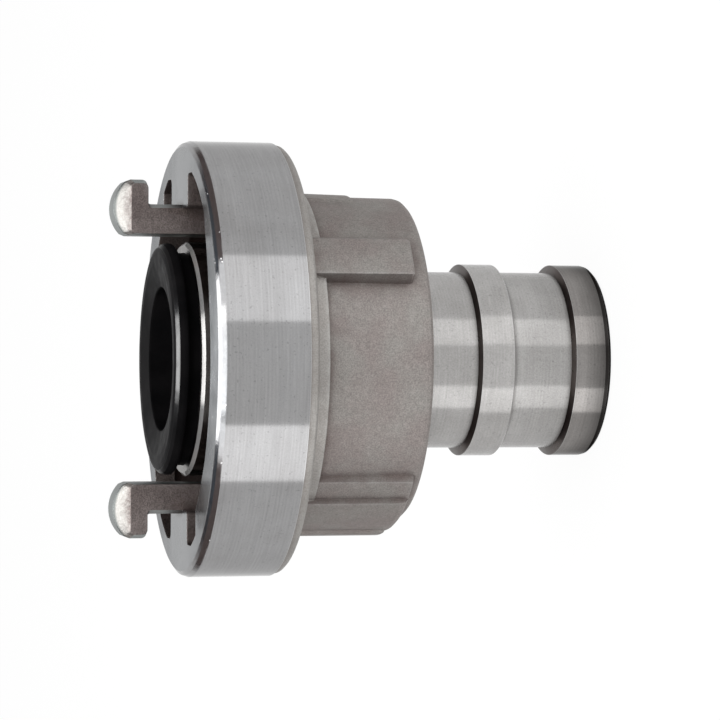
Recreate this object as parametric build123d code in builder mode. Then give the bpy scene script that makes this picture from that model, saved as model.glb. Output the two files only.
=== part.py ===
from build123d import *
import os
from math import cos, radians, sin, sqrt

# Quarter turn claw coupling for a 25 mm fire hose, in millimetres.
# The axis is +Z, the hose end stands at z = 0 and the two claw lugs are on top, at +X and -X.
# Heights go up from the hose end, and depths go down from the face of the ring.

# Lengths along the axis
stub_length = 25.4  # hose end to the back of the head
head_length = 28.1  # back of the head to the face of the ring
back_z = stub_length
face_z = stub_length + head_length

# Clearances
swivel_clearance = 0.07  # around the journal that the head turns on
end_play = 0.1  # below the collar and above the snap ring
seat_clearance = 0.05  # seal and snap ring in their grooves

# Ring of the head, turned outside and on its face, with the cast rim left behind
ring_radius = 27.5
ring_wall = 2.83
ring_length = 12.3
face_bevel_width = 0.73
face_bevel_length = 0.97
face_bevel_crown = 0.34  # share of its size at which its middle stands from the sharp corner
rim_length = 1.2
rim_step = 0.25
rim_rounding = 0.7

# Channel inside the ring, where the other coupling's claws run, and the lips over it
channel_radius = ring_radius - ring_wall
channel_depth = 9.0
lip_width = 2.87
lip_radius = channel_radius - lip_width
lip_entry_thickness = 3.1
lip_locked_thickness = 4.2
lip_full_angle = 80.0  # from the lug to where the lip has its whole width
lip_end_offset = 12.0  # from the plane through both lugs to the end of the lip
window_angle = 43.0  # from the lug to the far corner of the entry window
window_radius = 23.1  # where both windows beside a lug end
window_rounding = 0.9

# Block between the lug and the ring wall, flush with the face
tab_width = 11.7
tab_radius = 18.95  # where its inner side stands
tab_corner = 0.6

# Claw lugs: largest along a flat band down their middle, with sides that are drawn in from it
lug_count = 2
lug_width = 6.0
lug_band_width = 3.7
lug_inner_radius = 15.5
lug_inner_draft = 0.2
lug_outer_radius = 19.42  # of the stem above the face
lug_outer_draft = 0.5
hook_radius = 22.48
hook_height = 4.45  # from the face to the underside of the hook
hook_corner = 0.65
hook_notch = 0.5
nose_height = 8.7
nose_radius = 19.0  # where the nose is highest
nose_inner_height = 7.2
nose_outer_height = 6.95
nose_side_height = 6.58  # where the sides of the nose start to slope in to the band
nose_corner = 0.4

# Cast body behind the ring
collar_length = 2.4
collar_radius = 21.6
body_front_radius = 20.8
body_back_radius = 20.66
body_rounding = 1.0

# Spanner ribs, with one steep side and one that slopes down to the body
rib_count = 3
rib_radius = 22.5
rib_land_angle = 13.3
rib_ramp_angle = 9.7
rib_side_angle = 2.0  # lean of the steep side
rib_first_angle = -62.3  # steep side of the first rib
rib_end_gap = 2.3  # from the back of the head to the end of the rib
rib_root = 1.0  # how far the rib reaches into the body and into the ring
rib_rounding = 0.6

# Low pad under the first lug
low_pad_front_radius = 21.2
low_pad_back_radius = 21.0
low_pad_angle = 16.0  # from its middle to its edge
low_pad_depth = 21.4  # from the face of the ring to its end
low_pad_bevel = 0.35
low_pad_edge_angle = 12.0  # lean of its edges

# Bare raised pad under the second lug, in two steps
pad_step_radius = 21.5
pad_step_angle = 45.5  # from the middle of the pad to its edge
pad_radius = 22.05
pad_angle = 36.0
pad_edge_angle = 2.5  # lean of both edges
pad_direction = 180.0  # where its middle is
pad_end_gap = 1.3  # from the back of the head to the pad
pad_rounding = 1.0  # of its end

# Hose tail
bore_radius = 9.3
tube_radius = 11.33
bead_radius = 12.34
bead_cone_length = 0.35
bead_edge_break = 0.12
end_bead_length = 4.81
end_bead_rounding = 1.0
second_bead_z = 12.82
second_bead_length = 4.23
bore_chamfer = 0.5
journal_step = 0.26  # the journal stands over the beads, which pass through the bore of the head
journal_overhang = 0.8  # below the snap ring
journal_chamfer = 0.3

# Collar of the tail, which holds the seal
tail_collar_radius = 14.75
tail_collar_setback = 0.35  # below the face of the ring
tail_collar_chamfer = 0.4
mouth_length = 1.2
seal_groove_length = 2.85

# Snap ring, in the counterbore at the back of the head
snap_ring_thickness = 1.2
snap_ring_width = 2.1
snap_ring_groove_depth = 0.85
snap_ring_split = 3.0
counterbore_depth = 3.0
counterbore_margin = 0.7  # around the snap ring

# Seal
seal_hole_radius = 9.1
seal_neck_radius = 13.4
seal_root_radius = 13.95
seal_radius = 14.6
seal_height = 2.95  # above the face of the ring
seal_back_height = 1.15
seal_dish = 0.6  # how far the hole lies below the crest
seal_crest_radius = 12.3
seal_rounding = 1.2
seal_back_chamfer = 0.2

# Rounded edges are made of flats that turn by this much
rounding_step = 30

# Heights worked out from the sizes above
channel_floor_z = face_z - channel_depth
ring_back_z = face_z - ring_length
turned_back_z = ring_back_z + rim_length
body_collar_z = ring_back_z - collar_length
low_pad_end_z = face_z - low_pad_depth
shoulder_z = back_z + counterbore_depth
snap_ring_top_z = shoulder_z - end_play
snap_ring_bottom_z = snap_ring_top_z - snap_ring_thickness
journal_end_z = snap_ring_bottom_z - seat_clearance - journal_overhang
tail_collar_top_z = face_z - tail_collar_setback
tail_collar_bottom_z = channel_floor_z + end_play
groove_top_z = tail_collar_top_z - mouth_length
groove_bottom_z = groove_top_z - seal_groove_length

# Radii worked out from the sizes above
journal_radius = bead_radius + journal_step
head_bore_radius = journal_radius + swivel_clearance
snap_groove_radius = journal_radius - snap_ring_groove_depth
snap_ring_inner_radius = snap_groove_radius + seat_clearance
snap_ring_radius = snap_ring_inner_radius + snap_ring_width
counterbore_radius = snap_ring_radius + counterbore_margin


def ring_point(radius, angle):
    """A point of a plan at this radius, with the angle turned from the lug at +X."""
    return (radius * cos(radians(angle)), radius * sin(radians(angle)))


def rounded_edge(radius, z, rounding, up):
    """Points of a section for a rounded outer edge, from its end face to its side, up or down."""
    return [
        (radius - rounding * (1 - sin(radians(turn))), z + up * rounding * (1 - cos(radians(turn))))
        for turn in range(0, 91, rounding_step)
    ]


# Plan of the block behind a lug and of the ring beyond the ends of the windows
with BuildSketch() as tab:
    with BuildLine():
        FilletPolyline(
            (tab_radius, -tab_width / 2),
            (window_radius, -tab_width / 2),
            (window_radius, -window_radius),
            (ring_radius, -window_radius),
            (ring_radius, window_radius),
            (window_radius, window_radius),
            (window_radius, tab_width / 2),
            (tab_radius, tab_width / 2),
            radius=(tab_corner, window_rounding, 0, 0, 0, 0, window_rounding, tab_corner),
            close=True,
        )
    make_face()

# Room inside the ring on one side of the lugs: the channel with its sloped roof under the lip
with BuildPart() as channel:
    with BuildSketch(Plane.XY.offset(channel_floor_z)):
        Circle(channel_radius)
        Rectangle(2 * ring_radius, ring_radius, align=(Align.CENTER, Align.MAX), mode=Mode.INTERSECT)
        with PolarLocations(0, lug_count):
            add(tab.sketch, mode=Mode.SUBTRACT)
    extrude(amount=channel_depth)
    # The lip grows thicker towards its end, so that the claws draw the two couplings together
    slope_start = ring_point(lip_radius, -lip_full_angle)[0]
    slope_end = -sqrt(channel_radius**2 - lip_end_offset**2)
    slope = Vector(slope_start - slope_end, 0, lip_locked_thickness - lip_entry_thickness)
    lip_roof = Plane(
        origin=(slope_start, 0, face_z - lip_entry_thickness),
        x_dir=slope,
        z_dir=slope.cross(Vector(0, 1, 0)),
    )
    split(bisect_by=lip_roof, keep=Keep.BOTTOM)

# The way in from the front on the same side: the middle, the wide window and the narrow one
with BuildPart() as front_opening:
    with BuildSketch(Plane.XY.offset(channel_floor_z)):
        Circle(lip_radius)
        window_corner = ring_point(channel_radius, -window_angle)
        lip_start = ring_point(lip_radius, -lip_full_angle)
        along_lip = ring_point(1, 90 - lip_full_angle)
        with BuildLine():
            lip_edge = TangentArc(lip_start, window_corner, tangent=along_lip)
            Polyline(lip_edge @ 1, (ring_radius, window_corner[1]), (ring_radius, 0), (0, 0), lip_start)
        make_face()
        Rectangle(ring_radius, lip_end_offset, align=(Align.MAX, Align.MAX))
        Circle(channel_radius, mode=Mode.INTERSECT)
        Rectangle(2 * ring_radius, ring_radius, align=(Align.CENTER, Align.MAX), mode=Mode.INTERSECT)
        with PolarLocations(0, lug_count):
            add(tab.sketch, mode=Mode.SUBTRACT)
    extrude(amount=channel_depth)

# Outline of a claw lug along its middle: a stem from the channel floor, with a hook that points
# outwards over the face and a round nose
hook_z = face_z + hook_height
with BuildSketch() as lug_middle:
    with BuildLine():
        nose = ThreePointArc(
            (lug_inner_radius, face_z + nose_inner_height),
            (nose_radius, face_z + nose_height),
            (hook_radius, face_z + nose_outer_height),
        )
        hook = FilletPolyline(
            nose @ 1,
            (hook_radius, hook_z),
            (lug_outer_radius, hook_z),
            (lug_outer_radius, channel_floor_z),
            radius=(hook_corner, hook_notch),
        )
        Polyline(hook @ 1, (lug_inner_radius, channel_floor_z), nose @ 0)
    make_face()
    chamfer(lug_middle.vertices().sort_by(Axis.Y)[-2:], nose_corner)

# Outline of the two sides of a lug, which is smaller and cut off straight below the nose
with BuildSketch() as lug_side:
    side_inner_radius = lug_inner_radius + lug_inner_draft
    side_outer_radius = lug_outer_radius - lug_outer_draft
    side_hook_radius = hook_radius - lug_outer_draft
    with BuildLine():
        FilletPolyline(
            (side_inner_radius, face_z + nose_side_height),
            (side_hook_radius, face_z + nose_side_height),
            (side_hook_radius, hook_z),
            (side_outer_radius, hook_z),
            (side_outer_radius, channel_floor_z),
            (side_inner_radius, channel_floor_z),
            radius=(0, 0, hook_corner, hook_notch, 0, 0),
            close=True,
        )
    make_face()
    chamfer(lug_side.vertices().sort_by(Axis.Y)[-2:], nose_corner)

# One half of what a lug has beside its flat band
with BuildPart() as lug_flank:
    with BuildSketch(Plane.XZ.offset(lug_band_width / 2)):
        add(lug_middle.sketch)
    with BuildSketch(Plane.XZ.offset(lug_width / 2)):
        add(lug_side.sketch)
    loft(ruled=True)

with BuildPart() as lug:
    with BuildSketch(Plane.XZ):
        add(lug_middle.sketch)
    extrude(amount=lug_band_width / 2, both=True)
    add(lug_flank.part)
    mirror(lug_flank.part, about=Plane.XZ)

# One spanner rib: a steep side, a land and a slope down to the body
with BuildPart() as rib:
    with BuildSketch(Plane.XY.offset(back_z + rib_end_gap)):
        root_radius = body_back_radius - rib_root
        with BuildLine():
            CenterArc((0, 0), rib_radius, 0, rib_land_angle)
            Polyline(
                ring_point(rib_radius, rib_land_angle),
                ring_point(root_radius, rib_land_angle + rib_ramp_angle),
                ring_point(root_radius, -rib_side_angle),
                ring_point(rib_radius, 0),
            )
        make_face()
    extrude(amount=ring_back_z - back_z - rib_end_gap + rib_root)
    # The side nearest to the axis is the root, which stays sharp
    end_edges = rib.faces().sort_by(Axis.Z)[0].edges().sort_by_distance((0, 0, back_z))
    fillet(end_edges[1:], rib_rounding)

# The low pad, with slanted edges and a beveled end
with BuildPart() as low_pad:
    with BuildSketch(Plane.XY.offset(low_pad_end_z)):
        with BuildLine():
            outside = CenterArc((0, 0), low_pad_front_radius, -low_pad_angle, 2 * low_pad_angle)
            root_angle = low_pad_angle + low_pad_edge_angle
            root = CenterArc((0, 0), root_radius, -root_angle, 2 * root_angle)
            Line(outside @ 0, root @ 0)
            Line(outside @ 1, root @ 1)
        make_face()
    extrude(amount=ring_back_z - low_pad_end_z)
    with BuildSketch(Plane.XZ):
        with BuildLine():
            Polyline(
                (0, low_pad_end_z),
                (low_pad_back_radius - low_pad_bevel, low_pad_end_z),
                (low_pad_back_radius, low_pad_end_z + low_pad_bevel),
                (low_pad_front_radius, ring_back_z),
                (0, ring_back_z),
                close=True,
            )
        make_face()
    revolve(axis=Axis.Z, mode=Mode.INTERSECT)

# The raised pad, with a rounded end
pad_end_z = back_z + pad_end_gap
with BuildPart() as pad:
    with BuildSketch(Plane.XY.offset(pad_end_z)):
        for radius, angle in ((pad_step_radius, pad_step_angle), (pad_radius, pad_angle)):
            with BuildLine():
                outside = CenterArc((0, 0), radius, -angle, 2 * angle)
                root_angle = angle + pad_edge_angle
                root = CenterArc((0, 0), root_radius, -root_angle, 2 * root_angle)
                Line(outside @ 0, root @ 0)
                Line(outside @ 1, root @ 1)
            make_face()
    extrude(amount=ring_back_z - pad_end_z + rib_root)
    with BuildSketch(Plane.XZ):
        with BuildLine():
            Polyline(
                (0, pad_end_z),
                *rounded_edge(pad_radius, pad_end_z, pad_rounding, 1),
                (pad_radius, face_z),
                (0, face_z),
                close=True,
            )
        make_face()
    revolve(axis=Axis.Z, mode=Mode.INTERSECT)

# Cast head: ring, lips, lugs and the body with its spanner ribs, in one casting
with BuildPart() as coupling_head:
    with BuildSketch(Plane.XZ):
        rim_radius = ring_radius - rim_step
        with BuildLine():
            Polyline(
                (head_bore_radius, shoulder_z),
                (counterbore_radius, shoulder_z),
                (counterbore_radius, back_z),
                *rounded_edge(body_back_radius, back_z, body_rounding, 1),
                (body_front_radius, body_collar_z),
                (collar_radius, body_collar_z),
                (collar_radius, ring_back_z),
                *rounded_edge(rim_radius, ring_back_z, rim_rounding, 1),
                (rim_radius, turned_back_z),
                (ring_radius, turned_back_z),
                (ring_radius, face_z - face_bevel_length),
                (
                    ring_radius - face_bevel_crown * face_bevel_width,
                    face_z - face_bevel_crown * face_bevel_length,
                ),
                (ring_radius - face_bevel_width, face_z),
                (head_bore_radius, face_z),
                close=True,
            )
        make_face()
    revolve(axis=Axis.Z)
    with PolarLocations(0, lug_count):
        add(channel.part, mode=Mode.SUBTRACT)
        add(front_opening.part, mode=Mode.SUBTRACT)
        add(lug.part)
    with PolarLocations(0, rib_count, rib_first_angle):
        add(rib.part)
    add(low_pad.part)
    add(pad.part.rotate(Axis.Z, pad_direction))
coupling_head.part.label = "coupling_head"

# Turned hose tail: waterway, beads, journal with the snap ring groove, and the collar for the seal
with BuildPart() as hose_tail:
    with BuildSketch(Plane.XZ):
        second_bead_top_z = second_bead_z + second_bead_length
        with BuildLine():
            Polyline(
                (bore_radius, bore_chamfer),
                (bore_radius + bore_chamfer, 0),
                *rounded_edge(bead_radius, 0, end_bead_rounding, 1),
                (bead_radius, end_bead_length),
                (tube_radius, end_bead_length + bead_cone_length),
                (tube_radius, second_bead_z),
                (bead_radius - bead_edge_break, second_bead_z),
                (bead_radius, second_bead_z + bead_edge_break),
                (bead_radius, second_bead_top_z),
                (tube_radius, second_bead_top_z + bead_cone_length),
                (tube_radius, journal_end_z),
                (journal_radius - journal_chamfer, journal_end_z),
                (journal_radius, journal_end_z + journal_chamfer),
                (journal_radius, snap_ring_bottom_z - seat_clearance),
                (snap_groove_radius, snap_ring_bottom_z - seat_clearance),
                (snap_groove_radius, snap_ring_top_z + seat_clearance),
                (journal_radius, snap_ring_top_z + seat_clearance),
                (journal_radius, tail_collar_bottom_z),
                (tail_collar_radius, tail_collar_bottom_z),
                (tail_collar_radius, tail_collar_top_z - tail_collar_chamfer),
                (tail_collar_radius - tail_collar_chamfer, tail_collar_top_z),
                (seal_neck_radius + seat_clearance, tail_collar_top_z),
                (seal_neck_radius + seat_clearance, groove_top_z),
                (seal_root_radius + seat_clearance, groove_top_z),
                (seal_root_radius + seat_clearance, groove_bottom_z),
                (bore_radius, groove_bottom_z),
                close=True,
            )
        make_face()
    revolve(axis=Axis.Z)
hose_tail.part.label = "hose_tail"

# Rubber seal: a proud face with a dished front, a neck, and a root flange in the collar
with BuildPart() as seal:
    with BuildSketch(Plane.XZ):
        crest_z = face_z + seal_height
        seal_back_z = face_z + seal_back_height
        with BuildLine():
            Polyline(
                (seal_hole_radius, groove_bottom_z + seat_clearance),
                (seal_root_radius, groove_bottom_z + seat_clearance),
                (seal_root_radius, groove_top_z - seat_clearance),
                (seal_neck_radius, groove_top_z - seat_clearance),
                (seal_neck_radius, seal_back_z),
                (seal_radius - seal_back_chamfer, seal_back_z),
                (seal_radius, seal_back_z + seal_back_chamfer),
                *reversed(rounded_edge(seal_radius, crest_z, seal_rounding, -1)),
                (seal_crest_radius, crest_z),
                (seal_hole_radius, crest_z - seal_dish),
                close=True,
            )
        make_face()
    revolve(axis=Axis.Z)
seal.part.label = "seal"

# Split snap ring of flat section
with BuildPart() as snap_ring:
    with BuildSketch(Plane.XY.offset(snap_ring_bottom_z)):
        Circle(snap_ring_radius)
        Circle(snap_ring_inner_radius, mode=Mode.SUBTRACT)
        with Locations((0, snap_ring_radius)):
            Rectangle(snap_ring_split, 2 * snap_ring_width + snap_ring_split, mode=Mode.SUBTRACT)
    extrude(amount=snap_ring_thickness)
snap_ring.part.label = "snap_ring"

os.makedirs("parts", exist_ok=True)
for piece in (coupling_head, hose_tail, seal, snap_ring):
    export_step(piece.part, f"parts/{piece.part.label}.step")
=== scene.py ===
"""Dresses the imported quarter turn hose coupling: camera, light, floor and the finish of each surface."""
import math

import bpy
from mathutils import Matrix, Vector


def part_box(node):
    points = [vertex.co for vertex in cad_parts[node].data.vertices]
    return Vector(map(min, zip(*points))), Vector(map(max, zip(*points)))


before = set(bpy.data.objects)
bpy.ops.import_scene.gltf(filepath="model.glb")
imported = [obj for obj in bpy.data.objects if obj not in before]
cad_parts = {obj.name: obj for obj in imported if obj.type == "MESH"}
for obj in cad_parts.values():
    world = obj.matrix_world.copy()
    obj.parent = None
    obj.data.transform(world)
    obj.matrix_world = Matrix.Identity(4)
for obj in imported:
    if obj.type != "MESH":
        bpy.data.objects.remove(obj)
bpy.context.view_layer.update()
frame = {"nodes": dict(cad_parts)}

MM = 0.001

# The photograph's view: a long lens, square to the axis but for a lean towards the claws.
# The picture's up is the part's +X, but for a small roll.
VIEW_CENTRE = Vector((-0.00005, 0, 0.0300))
VIEW_LEAN = math.radians(13.4)
VIEW_ROLL = math.radians(0.17)
VIEW_DISTANCE = 0.376
VIEW_LENS = 146.6

# Lamps and cards stand this far from the view's centre. A card fades out over the last of its width.
LAMP_DISTANCE = 0.6
CARD_DISTANCE = 0.5
CARD_FADE = 0.22
FLOOR_SIZE = 6

# Where the finishes of the head change: the ring's face and bevel, the channel in it, the rim behind it
# and the bore
RING_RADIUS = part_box("coupling_head")[1].x
FACE_Z = 53.5 * MM
BEVEL_LENGTH = 0.97 * MM
BEVEL_WIDTH = 0.73 * MM
CHANNEL_RADIUS = 24.67 * MM
CHANNEL_FLOOR_Z = 44.5 * MM
RIM_INSIDE = 21.5 * MM
RIM_BACK_Z = 38.8 * MM
HEAD_BORE_OUTSIDE = 15 * MM

# Where those of the tail change: its bore, the end with its edge, the end bead, the cones of both beads
# and the collar
TAIL_BORE_OUTSIDE = 9.9 * MM
TAIL_END_Z = 1.1 * MM
END_BEAD_Z = 4.81 * MM
BEADS_Z = 20 * MM
COLLAR_Z = 44.6 * MM

# The crest of the seal is outside this radius. Its -Y side gets a painted sheen, a clear coat that grows
# between these two distances
CREST_RADIUS = 13.3 * MM
PAINTED_SHEEN_SPAN = (11.8 * MM, 13.9 * MM)

# Half the width of a nose's grey band, and where its bright flank, a painted highlight, turns brown
NOSE_BAND = (1.95 * MM, 2.1 * MM)
NOSE_FLANK = (2.3 * MM, 3.1 * MM)

# A face counts as at a height when its centre is this close, and on a radius when it is this close,
# because the centre of a flat facet lies inside the circle of its corners
NEAR = 0.01 * MM
NEAR_RADIUS = 0.1 * MM

# Fine marks of the finishes
GRAIN = 0.17 * MM
FEED = 0.43 * MM

# Colours of wear with a painted highlight on the edges, of fresh dents, and of dirt with painted shade in
# the corners
WORN_AND_HIGHLIT_TURNED = (0.6, 0.6, 0.6)
WORN_AND_HIGHLIT_CAST = (0.62, 0.62, 0.61)
FRESH_DENT = (0.9, 0.9, 0.9)
BLACK_DIRT_AND_SHADE = (0.03, 0.022, 0.018)
BROWN_SOIL_AND_SHADE = (0.075, 0.055, 0.05)
GRIME_AND_SHADE = (0.13, 0.095, 0.088)


def add_camera():
    """The photograph's camera, rolled so that the part's +X is up."""
    back = Vector((0, -math.cos(VIEW_LEAN), math.sin(VIEW_LEAN)))
    up = Vector((1, 0, 0))
    camera = bpy.data.objects.new("camera", bpy.data.cameras.new("camera"))
    camera.data.lens = VIEW_LENS
    camera.data.clip_start = 0.01
    camera.data.clip_end = 20
    axes = Matrix((up.cross(back), up, back)).transposed() @ Matrix.Rotation(VIEW_ROLL, 3, "Z")
    camera.matrix_world = Matrix.Translation(VIEW_CENTRE + back * VIEW_DISTANCE) @ axes.to_4x4()
    bpy.context.collection.objects.link(camera)
    bpy.context.scene.camera = camera


class Nodes:
    """Short hand for building a node tree."""

    def __init__(self, tree):
        self.tree = tree

    def add(self, kind, **settings):
        """A node of this kind, with attributes set, and sockets set or linked by name."""
        node = self.tree.nodes.new(kind)
        sockets = settings.pop("sockets", {})
        for name, value in settings.items():
            setattr(node, name, value)
        for name, value in sockets.items():
            self.put(node.inputs[name], value)
        return node

    def put(self, socket, value):
        """Links an output to the socket, or sets a constant on it."""
        if isinstance(value, bpy.types.NodeSocket):
            self.tree.links.new(value, socket)
        else:
            socket.default_value = value

    def math(self, operation, first, second=0.0):
        node = self.add("ShaderNodeMath", operation=operation)
        self.put(node.inputs[0], first)
        self.put(node.inputs[1], second)
        return node.outputs[0]

    def times(self, first, *others):
        """The product of all."""
        for other in others:
            first = self.math("MULTIPLY", first, other)
        return first

    def place(self, stretch=None):
        """Where the surface is, in metres along the part's own axes, times a stretch."""
        place = self.add("ShaderNodeTexCoord").outputs["Object"]
        if stretch is None:
            return place
        node = self.add("ShaderNodeVectorMath", operation="MULTIPLY")
        self.put(node.inputs[0], place)
        self.put(node.inputs[1], stretch)
        return node.outputs[0]

    def along(self, axis):
        """Where the surface is along one axis of the part, in metres."""
        return self.add("ShaderNodeSeparateXYZ", sockets={"Vector": self.place()}).outputs[axis]

    def spread(self, value, start, end, low, high):
        """The value from start to end, mapped to low to high and clamped there."""
        node = self.add("ShaderNodeMapRange", sockets={
            "Value": value, "From Min": start, "From Max": end, "To Min": low, "To Max": high})
        return node.outputs[0]

    def noise(self, size, detail=2.0, low=0.0, high=1.0, start=0.3, end=0.7, stretch=None):
        """Noise with grains of this size in metres, spread from low to high."""
        node = self.add("ShaderNodeTexNoise", sockets={
            "Vector": self.place(stretch), "Scale": 1 / size, "Detail": detail})
        return self.spread(node.outputs[0], start, end, low, high)

    def flicker(self, size, detail, amount, start=0.3, end=0.7, stretch=None):
        """Noise round 1, this amount up and down."""
        return self.noise(size, detail, 1 - amount, 1 + amount, start, end, stretch)

    def blend(self, share, first, second):
        """From the first colour to the second."""
        node = self.add("ShaderNodeMix", data_type="RGBA")
        self.put(node.inputs[0], share)
        for socket, colour in ((node.inputs[6], first), (node.inputs[7], second)):
            self.put(socket, (*colour, 1) if isinstance(colour, tuple) else colour)
        return node.outputs[2]

    def dim(self, colour, factor):
        """The colour times a grey factor."""
        node = self.add("ShaderNodeMix", data_type="RGBA", blend_type="MULTIPLY")
        node.inputs[0].default_value = 1.0
        self.put(node.inputs[6], colour)
        grey = self.add("ShaderNodeCombineColor")
        for socket in grey.inputs:
            self.put(socket, factor)
        self.put(node.inputs[7], grey.outputs[0])
        return node.outputs[2]

    def crease(self, reach, inside=False, deep=0.5, plain=0.92):
        """0 on open surfaces, up to 1 deep in a hollow corner, or on a sharp edge when inside."""
        node = self.add("ShaderNodeAmbientOcclusion", samples=6, inside=inside, only_local=True)
        node.inputs["Distance"].default_value = reach
        return self.spread(node.outputs["AO"], deep, plain, 1.0, 0.0)

    def soft(self, radius):
        """The normal with every edge rounded by this radius."""
        return self.add("ShaderNodeBevel", samples=4, sockets={"Radius": radius}).outputs[0]

    def relief(self, strength, depth, height, radius):
        """The normal with a bump of this depth on it, and with every edge rounded by this radius."""
        node = self.add("ShaderNodeBump", sockets={
            "Strength": strength, "Distance": depth, "Height": height, "Normal": self.soft(radius)})
        return node.outputs[0]

    def seen(self):
        """1 for what the camera sees, also in metal, and 0 for what only lights a dull surface."""
        path = self.add("ShaderNodeLightPath")
        seen = self.math("MAXIMUM", path.outputs["Is Camera Ray"], path.outputs["Is Glossy Ray"])
        return self.math("MAXIMUM", seen, path.outputs["Is Transmission Ray"])


def new_material(name):
    """A material with its Principled shader, and the helper for its nodes."""
    material = bpy.data.materials.new(name)
    material.use_nodes = True
    material.node_tree.nodes.clear()
    nodes = Nodes(material.node_tree)
    shader = nodes.add("ShaderNodeBsdfPrincipled")
    output = nodes.add("ShaderNodeOutputMaterial")
    nodes.put(output.inputs["Surface"], shader.outputs[0])
    return material, nodes, shader


def turned_aluminium(name, colour, stain, roughness, groove=0.06, speckle=0.04, metal=1.0, edge=0.7,
                     fade=None, rounding=None):
    """Lathe-turned metal: grooves run round the axis, so that lights smear along it.

    Groove and speckle are how much the grooves and the grain vary the tone. Edge is the share of light
    that comes off at a grazing angle. Fade is a painted shade that darkens between two heights, as
    (height, height, factor at the first). Rounding is the radius that softens the edges.
    """
    material, nodes, shader = new_material(name)
    shader.inputs["Metallic"].default_value = metal
    shader.inputs["Specular Tint"].default_value = (edge, edge, edge, 1)
    shader.inputs["Anisotropic"].default_value = 0.95
    shader.inputs["Anisotropic Rotation"].default_value = 0.25
    tangent = nodes.add("ShaderNodeTangent", direction_type="RADIAL", axis="Z")
    nodes.put(shader.inputs["Tangent"], tangent.outputs[0])

    # Grooves that come and go round the part, over an even feed mark
    marks = nodes.flicker(1.0, 3.0, groove, stretch=(160, 160, 4200))
    broad = nodes.flicker(1.0, 2.0, 0.5 * groove, stretch=(30, 30, 900))
    feed = nodes.math("SINE", nodes.times(nodes.along("Z"), 2 * math.pi / FEED))
    feed = nodes.spread(feed, -1, 1, 1 - 0.4 * groove, 1 + 0.4 * groove)
    # Pits and grain
    pits = nodes.noise(0.35 * MM, 1.0, low=1.0, high=0.8, start=0.66, end=0.74)
    grain = nodes.flicker(GRAIN, 2.0, speckle, start=0.32, end=0.68)
    tone = nodes.times(marks, broad, feed, pits, grain)
    # Painted shade: darker towards the first height
    if fade:
        first, second, factor = fade
        tone = nodes.times(tone, nodes.spread(nodes.along("Z"), first, second, factor, 1.0))

    # Bright edges, part wear and part painted highlight, and dirt with painted shade in the corners
    clean = nodes.dim(nodes.blend(nodes.noise(6 * MM, 3.0), colour, stain), tone)
    worn_and_highlit = nodes.times(nodes.crease(0.15 * MM, inside=True), 0.5)
    clean = nodes.blend(worn_and_highlit, clean, WORN_AND_HIGHLIT_TURNED)
    dirt_and_shade = nodes.times(nodes.crease(0.9 * MM), 0.85)
    nodes.put(shader.inputs["Base Color"], nodes.blend(dirt_and_shade, clean, BLACK_DIRT_AND_SHADE))
    rough = nodes.noise(3 * MM, 3.0, low=0.85 * roughness, high=1.15 * roughness)
    nodes.put(shader.inputs["Roughness"], rough)
    if rounding:
        nodes.put(shader.inputs["Normal"], nodes.soft(rounding))
    return material


def cast_aluminium(name, colour, stain, roughness=0.6, speckle=0.2, relief=0.5, dirt_and_shade=0.8, wear_and_highlight=0.4):
    """Sand-blasted casting with a fine grain, stained in patches.

    Speckle is how much the grain varies the tone, and relief how deep it is. The dirt amount is how dark
    the corners get, from dirt and painted shade, and the wear amount how bright the edges are, from
    wear and a painted highlight.
    """
    material, nodes, shader = new_material(name)
    shader.inputs["Metallic"].default_value = 1.0
    shader.inputs["Specular Tint"].default_value = (0.8, 0.8, 0.8, 1)
    shader.inputs["Roughness"].default_value = roughness
    grain = nodes.flicker(GRAIN, 2.0, speckle, start=0.32, end=0.68)
    lumps = nodes.flicker(0.9 * MM, 2.0, 0.25 * speckle)
    patches = nodes.noise(5 * MM, 4.0, start=0.38, end=0.62)
    clean = nodes.dim(nodes.blend(patches, colour, stain), nodes.times(grain, lumps))

    # Bright edges, part wear and part painted highlight; grime with painted shade in a wide band along the
    # corners; dark soil with painted shade deep in them
    worn_and_highlit = nodes.times(nodes.crease(0.7 * MM, inside=True), nodes.noise(1.2 * MM, 3.0, high=wear_and_highlight))
    clean = nodes.blend(worn_and_highlit, clean, WORN_AND_HIGHLIT_CAST)
    patches = nodes.noise(2.5 * MM, 4.0, low=0.15 * dirt_and_shade, high=0.75 * dirt_and_shade)
    grime_and_shade = nodes.times(nodes.crease(2.6 * MM, deep=0.72, plain=0.985), patches)
    clean = nodes.blend(grime_and_shade, clean, GRIME_AND_SHADE)
    patches = nodes.noise(1.5 * MM, 3.0, low=0.4 * dirt_and_shade, high=dirt_and_shade)
    soil_and_shade = nodes.times(nodes.crease(1.1 * MM), patches)
    nodes.put(shader.inputs["Base Color"], nodes.blend(soil_and_shade, clean, BROWN_SOIL_AND_SHADE))
    rise = nodes.math("ADD", grain, nodes.times(lumps, 2.0))
    nodes.put(shader.inputs["Normal"], nodes.relief(relief, 0.05 * MM, rise, 0.2 * MM))
    return material


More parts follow.
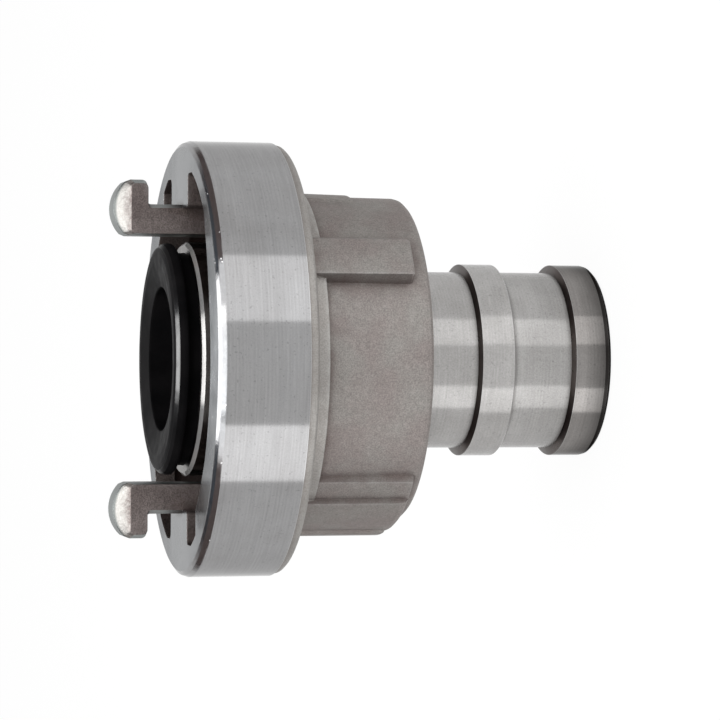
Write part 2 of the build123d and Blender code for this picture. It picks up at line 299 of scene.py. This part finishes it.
def nose_aluminium(name):
    """The sloped top of a lug's nose: a grey band down the middle, then a painted highlight, and brown at
    its sides.
    """
    material, nodes, shader = new_material(name)
    shader.inputs["Metallic"].default_value = 1.0
    shader.inputs["Roughness"].default_value = 0.5
    grain = nodes.noise(0.2 * MM)
    aside = nodes.math("ABSOLUTE", nodes.along("Y"))
    band = nodes.spread(aside, *NOSE_BAND, 1.0, 0.0)
    aside = nodes.math("ADD", aside, nodes.noise(0.5 * MM, 3.0, low=-0.2 * MM, high=0.2 * MM))
    share = nodes.spread(aside, *NOSE_FLANK, 0.0, 1.0)
    # The bright flank is a painted highlight
    bright = nodes.blend(grain, (0.36, 0.349, 0.33), (0.46, 0.449, 0.43))
    brown = nodes.blend(grain, (0.12, 0.10, 0.095), (0.22, 0.185, 0.175))
    flank = nodes.blend(share, bright, brown)
    nodes.put(shader.inputs["Base Color"], nodes.blend(band, flank, (0.17, 0.18, 0.175)))
    nodes.put(shader.inputs["Normal"], nodes.relief(0.5, 0.03 * MM, grain, 0.3 * MM))
    return material


def bevel_aluminium(name):
    """The turned bevel round the face, with small knocks and a few fresh dents, rough and bright."""
    material, nodes, shader = new_material(name)
    shader.inputs["Metallic"].default_value = 1.0
    shader.inputs["Specular Tint"].default_value = (0.7, 0.7, 0.7, 1)
    knocks = nodes.noise(0.5 * MM, start=0.45)
    dents = nodes.noise(0.7 * MM, 1.0, start=0.72, end=0.75)
    tint = nodes.blend(nodes.noise(7 * MM, 3.0), (0.34, 0.345, 0.355), (0.29, 0.285, 0.285))
    clean = nodes.blend(nodes.times(knocks, 0.15), tint, (0.5, 0.5, 0.5))
    nodes.put(shader.inputs["Base Color"], nodes.blend(dents, clean, FRESH_DENT))
    smooth = nodes.noise(1.2 * MM, 3.0, low=0.07, high=0.15)
    nodes.put(shader.inputs["Roughness"], nodes.math("ADD", smooth, nodes.times(dents, 0.7)))
    nodes.put(shader.inputs["Normal"], nodes.relief(0.05, 0.03 * MM, knocks, 0.3 * MM))
    return material


def black_rubber(name, shine, painted_sheen=False):
    """Smooth moulded rubber with a faint bloom. With a painted sheen, its -Y side gets a shiny clear coat.
    """
    material, nodes, shader = new_material(name)
    shader.inputs["Specular IOR Level"].default_value = shine
    bloom = nodes.blend(nodes.noise(4 * MM, 4.0), (0.003, 0.003, 0.0033), (0.007, 0.0065, 0.007))
    nodes.put(shader.inputs["Base Color"], bloom)
    nodes.put(shader.inputs["Roughness"], nodes.noise(2 * MM, 3.0, low=0.32, high=0.45))
    grain = nodes.noise(0.12 * MM)
    nodes.put(shader.inputs["Normal"], nodes.relief(0.1, 0.02 * MM, grain, 0.4 * MM))
    # Painted sheen: a clear coat that grows towards -Y
    if painted_sheen:
        side = nodes.times(nodes.along("Y"), -1.0)
        side = nodes.math("ADD", side, nodes.noise(2.5 * MM, low=-0.8 * MM, high=0.8 * MM))
        nodes.put(shader.inputs["Coat Weight"], nodes.spread(side, *PAINTED_SHEEN_SPAN, 0.0, 1.0))
        shader.inputs["Coat IOR"].default_value = 1.72
        shader.inputs["Coat Roughness"].default_value = 0.15
        nodes.put(shader.inputs["Coat Normal"], nodes.soft(0.4 * MM))
    return material


def head_finish(centre, normal):
    """Which finish of the head a face has, from where it is and which way it faces."""
    radius = math.hypot(centre.x, centre.y)
    if centre.z > FACE_Z + NEAR:
        if abs(normal.y) > 0.9:
            return "lug_side"
        if normal.z > 0.2 and abs(normal.y) > 0.25:
            return "nose"
        return "lug_side" if normal.z < -0.6 else "lug_band"
    at_bevel = centre.z > FACE_Z - BEVEL_LENGTH and radius > RING_RADIUS - BEVEL_WIDTH - NEAR
    if at_bevel and normal.z < 0.99:
        return "bevel"
    if centre.z > FACE_Z - NEAR:
        return "faced"
    if radius > RING_RADIUS - NEAR_RADIUS:
        return "turned"
    if centre.z > CHANNEL_FLOOR_Z - NEAR and radius < CHANNEL_RADIUS + NEAR_RADIUS:
        return "channel"
    if centre.z > RIM_BACK_Z - NEAR and radius > RIM_INSIDE:
        return "rim"
    if radius < HEAD_BORE_OUTSIDE:
        return "bore"
    # The walls of ribs and pads face neither outward nor along the axis
    outward = (centre.x * normal.x + centre.y * normal.y) / radius
    return "wall" if abs(outward) < 0.6 and abs(normal.z) < 0.3 else "cast"


def tail_finish(centre, normal):
    """Which finish of the tail a face has."""
    radius = math.hypot(centre.x, centre.y)
    if radius < TAIL_BORE_OUTSIDE and centre.z > NEAR:
        return "bore"
    if centre.z < TAIL_END_Z:
        return "end"
    if centre.z < END_BEAD_Z and abs(normal.z) < 0.3:
        return "end_bead"
    if centre.z < BEADS_Z and normal.z > 0.3:
        return "cone"
    if centre.z > COLLAR_Z and not 0.3 < normal.z < 0.9:
        return "collar"
    return "turned"


def seal_finish(centre, normal):
    """The facets of the seal's rounded crest that lean halfway get the glossier rubber, a painted highlight.
    """
    outside = math.hypot(centre.x, centre.y) > CREST_RADIUS
    return "crest" if outside and 0.5 < normal.z < 0.8 else "rubber"


def ring_finish(centre, normal):
    """The snap ring is plain all over."""
    return "steel"


def dress(node, finishes, pick):
    """Gives each face of a CAD node the finish that pick names for it."""
    mesh = node.data
    mesh.materials.clear()
    names = list(finishes)
    for name in names:
        mesh.materials.append(finishes[name])
    for polygon in mesh.polygons:
        polygon.material_index = names.index(pick(polygon.center, polygon.normal))


def dress_part(nodes):
    """All four pieces."""
    # The bore is near black: painted shade inside the holes
    bore = cast_aluminium("bore", (0.003, 0.003, 0.003), (0.002, 0.002, 0.002), 0.5, speckle=0.1, relief=0.1)
    dress(nodes["coupling_head"], {
        "cast": cast_aluminium("cast", (0.29, 0.275, 0.26), (0.272, 0.243, 0.232)),
        # The walls are a darker copy of the casting: painted shade
        "wall": cast_aluminium("wall", (0.209, 0.196, 0.186), (0.194, 0.171, 0.163), wear_and_highlight=0.15),
        "rim": cast_aluminium(
            "rim", (0.335, 0.322, 0.307), (0.30, 0.285, 0.27), 0.5, speckle=0.15, relief=0.3, dirt_and_shade=0.3),
        "turned": turned_aluminium("turned_ring", (0.322, 0.321, 0.324), (0.297, 0.294, 0.295), 0.15),
        "faced": turned_aluminium(
            "faced_ring", (0.32, 0.33, 0.34), (0.30, 0.31, 0.32), 0.25, groove=0.02, edge=0.66,
            rounding=0.3 * MM),
        "bevel": bevel_aluminium("bevel"),
        # The channel inside the ring is a darker copy: painted shade in the recess
        "channel": cast_aluminium(
            "channel", (0.15, 0.13, 0.122), (0.11, 0.09, 0.085), 0.55, speckle=0.3, wear_and_highlight=0.1),
        # The lug sides are partly a browner casting and partly painted shade
        "lug_side": cast_aluminium(
            "lug_side", (0.178, 0.152, 0.145), (0.133, 0.111, 0.106), speckle=0.27, wear_and_highlight=0.15),
        "nose": nose_aluminium("nose"),
        "lug_band": cast_aluminium(
            "lug_band", (0.262, 0.279, 0.274), (0.235, 0.25, 0.246), 0.45, speckle=0.06, relief=0.2),
        "bore": bore,
    }, head_finish)
    dress(nodes["hose_tail"], {
        # The tail darkens towards the end bead: painted shade
        "turned": turned_aluminium(
            "turned_tail", (0.395, 0.387, 0.38), (0.335, 0.327, 0.319), 0.22, groove=0.05, metal=0.6,
            fade=(5.2 * MM, 14 * MM, 0.84), speckle=0.1),
        # The end bead is a darker copy, darker still towards the end, and the end itself near black: painted
        # shade
        "end_bead": turned_aluminium(
            "turned_end", (0.27, 0.258, 0.25), (0.22, 0.208, 0.2), 0.17, edge=0.5,
            fade=(0.8 * MM, 3.8 * MM, 0.35), speckle=0.08),
        "end": turned_aluminium(
            "end", (0.03, 0.028, 0.027), (0.02, 0.018, 0.017), 0.3, groove=0.05, edge=0.4),
        # The cones are dark, partly dirt and partly a painted dark reflection
        "cone": turned_aluminium("cone", (0.13, 0.115, 0.108), (0.07, 0.055, 0.05), 0.3, groove=0.05),
        # The collar inside the head is a darker copy: painted shade
        "collar": turned_aluminium("collar", (0.19, 0.178, 0.17), (0.14, 0.128, 0.12), 0.25, groove=0.05),
        "bore": bore,
    }, tail_finish)
    dress(nodes["seal"], {
        "rubber": black_rubber("rubber", 0.006),
        # The crest's glossier rubber and its coat are a painted highlight
        "crest": black_rubber("rubber_crest", 0.06, painted_sheen=True),
    }, seal_finish)
    dress(nodes["snap_ring"], {
        "steel": turned_aluminium("spring_steel", (0.28, 0.28, 0.285), (0.2, 0.2, 0.2), 0.3),
    }, ring_finish)


def add_floor():
    """A plain white floor that keeps a part of the shadow. Metal sees the white world in its place."""
    bpy.ops.mesh.primitive_plane_add(size=FLOOR_SIZE)
    floor = bpy.context.object
    floor.name = "floor"
    floor.visible_glossy = False
    material, nodes, shader = new_material("floor")
    shader.inputs["Base Color"].default_value = (0.93, 0.93, 0.93, 1)
    shader.inputs["Roughness"].default_value = 0.9
    shader.inputs["Specular IOR Level"].default_value = 0.0
    white = nodes.add("ShaderNodeEmission", sockets={"Color": (1, 1, 1, 1), "Strength": 1.0})
    mix = nodes.add("ShaderNodeMixShader", sockets={"Fac": nodes.times(nodes.seen(), 0.95)})
    nodes.put(mix.inputs[1], shader.outputs[0])
    nodes.put(mix.inputs[2], white.outputs[0])
    output = next(node for node in material.node_tree.nodes if node.type == "OUTPUT_MATERIAL")
    nodes.put(output.inputs["Surface"], mix.outputs[0])
    floor.data.materials.append(material)


def add_world(white, level):
    """White to the camera and in metal, and a plain level of light on what is dull."""
    world = bpy.data.worlds.new("studio")
    world.use_nodes = True
    world.node_tree.nodes.clear()
    nodes = Nodes(world.node_tree)
    soft = nodes.add("ShaderNodeBackground", sockets={"Color": (level, level, level, 1)})
    plain = nodes.add("ShaderNodeBackground", sockets={"Color": (white, white, white, 1)})
    mix = nodes.add("ShaderNodeMixShader", sockets={"Fac": nodes.seen()})
    nodes.put(mix.inputs[1], soft.outputs[0])
    nodes.put(mix.inputs[2], plain.outputs[0])
    output = nodes.add("ShaderNodeOutputWorld")
    nodes.put(output.inputs["Surface"], mix.outputs[0])
    bpy.context.scene.world = world


def add_box(name, data, azimuth, elevation, distance):
    """Puts a lamp or a card round the part, to face it. Azimuth 0 is the camera's side, 90 is +X."""
    turn, rise = math.radians(azimuth), math.radians(elevation)
    out = Vector((math.sin(turn) * math.cos(rise), -math.cos(turn) * math.cos(rise), math.sin(rise)))
    side = Vector((math.cos(turn), math.sin(turn), 0))
    axes = Matrix((side, out.cross(side), out)).transposed()
    box = bpy.data.objects.new(name, data)
    box.matrix_world = Matrix.Translation(VIEW_CENTRE + out * distance) @ axes.to_4x4()
    box.visible_camera = False
    bpy.context.collection.objects.link(box)
    return box


def add_card(name, azimuth, elevation, width, height, colour):
    """A dark card that only metal sees. It fades out at its end behind the part."""
    mesh = bpy.data.meshes.new(name)
    corners = [(x * width / 2, y * height / 2, 0) for x, y in ((-1, -1), (1, -1), (1, 1), (-1, 1))]
    mesh.from_pydata(corners, [], [(0, 1, 2, 3)])
    material, nodes, shader = new_material(name)
    shader.inputs["Base Color"].default_value = (*colour, 1)
    shader.inputs["Roughness"].default_value = 1.0
    shader.inputs["Specular IOR Level"].default_value = 0.0
    behind = nodes.times(nodes.along("X"), math.copysign(1, azimuth))
    nodes.put(shader.inputs["Alpha"], nodes.spread(behind, width / 2 - CARD_FADE, width / 2, 1.0, 0.0))
    mesh.materials.append(material)
    card = add_box(name, mesh, azimuth, elevation, CARD_DISTANCE)
    card.visible_diffuse = False
    card.visible_shadow = False


def add_lamp(name, azimuth, elevation, width, height, radiance):
    """A soft box of this radiance."""
    lamp = bpy.data.lights.new(name, "AREA")
    lamp.shape = "RECTANGLE"
    lamp.size = width
    lamp.size_y = height
    lamp.energy = radiance * math.pi * width * height
    add_box(name, lamp, azimuth, elevation, LAMP_DISTANCE)


def add_studio():
    """Two strips draw the bright bands on the turned surfaces, and the cards the dark line on the bevel."""
    add_floor()
    add_world(white=1.0, level=0.6)
    add_lamp("upper_strip", 36.7, 0, 0.378, 1.6, 0.75)
    add_lamp("lower_strip", -49.2, 0, 0.336, 1.6, 1.08)
    add_lamp("overhead", 0, 58, 0.6, 0.62, 2.0)
    add_lamp("zenith", 0, 96, 0.6, 0.45, 3.0)
    for name, side in (("upper", 1), ("lower", -1)):
        add_card(name + "_brown_card", side * 106, 27, 1.0, 0.45, (0.16, 0.13, 0.125))
        add_card(name + "_blue_card", side * 115, 50, 0.65, 0.33, (0.09, 0.1, 0.115))


def main():
    add_camera()
    dress_part(frame["nodes"])
    add_studio()
    bpy.context.scene.view_settings.view_transform = "Standard"


main()
